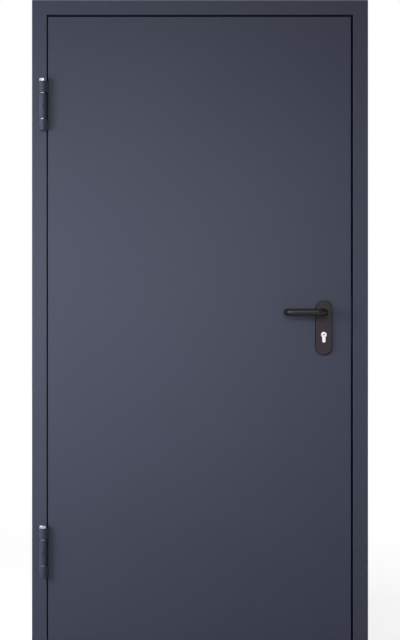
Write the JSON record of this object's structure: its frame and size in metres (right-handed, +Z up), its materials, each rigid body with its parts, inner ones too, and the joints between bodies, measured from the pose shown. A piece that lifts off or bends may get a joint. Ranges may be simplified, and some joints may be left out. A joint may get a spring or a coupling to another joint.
{
  "type": "fire door",
  "caption": "Single-leaf steel fire door in its frame, graphite paint, barrel hinges on the left, black U-shaped lever on a round-ended plate with a profile cylinder",
  "frame": {"origin": "on the flat wall face of the hinge jamb, at floor level and at half the depth of the frame", "axes": "+X from the hinge side to the lock side, +Y from the front face to the back, +Z up"},
  "size_m": [1.05, 0.2, 2.05],
  "materials": {
    "paint": "satin powder coat, graphite blue-grey",
    "bright_steel": "polished",
    "plated_steel": "zinc plated",
    "cylinder_nickel": "satin nickel",
    "plate_black": "fine matt",
    "lever_black": "satin",
    "seal_rubber": "matt",
    "fire_strip": "graphite",
    "mineral_wool": "fibrous board"
  },
  "bodies": {
    "frame": {"frame_hinge_jamb": "paint", "frame_lock_jamb": "paint", "frame_head": "paint", "frame_sill": "paint", "hinge_side_seal": "seal_rubber", "lock_side_seal": "seal_rubber", "head_seal": "seal_rubber", "sill_seal": "seal_rubber", "strike_plate": "plated_steel", "upper_hinge_frame_knuckle": "paint", "lower_hinge_frame_knuckle": "paint", "upper_hinge_pin": "bright_steel", "lower_hinge_pin": "bright_steel", "upper_hinge_rings": "bright_steel", "lower_hinge_rings": "bright_steel"},
    "leaf": {"leaf_front_tray": "paint", "leaf_back_tray": "paint", "leaf_core": "mineral_wool", "hinge_edge_strip": "fire_strip", "lock_edge_strip": "fire_strip", "top_edge_strip": "fire_strip", "upper_hinge_leaf_knuckles": "paint", "lower_hinge_leaf_knuckles": "paint", "security_bolts": "plated_steel", "lock_case": "plated_steel", "lock_forend": "plated_steel", "latch_bolt": "plated_steel", "dead_bolt": "plated_steel", "lock_cylinder": "cylinder_nickel", "front_handle_plate": "plate_black", "back_handle_plate": "plate_black"},
    "lever": {"front_lever": "lever_black", "back_lever": "lever_black", "spindle": "plated_steel"}
  },
  "joints": [
    {"name": "door_swing", "type": "hinge", "parent": "frame", "child": "leaf", "pos_m": [0.0365, -0.064, 1], "axis": [0, 0, -1], "range_deg": [0, 170]},
    {"name": "lever_turn", "type": "hinge", "parent": "leaf", "child": "lever", "pos_m": [0.911, -0.05, 1.074], "axis": [0, -1, 0], "range_deg": [0, 45], "stiffness_Nm_per_rad": 1, "springref_deg": -28.65}
  ]
}
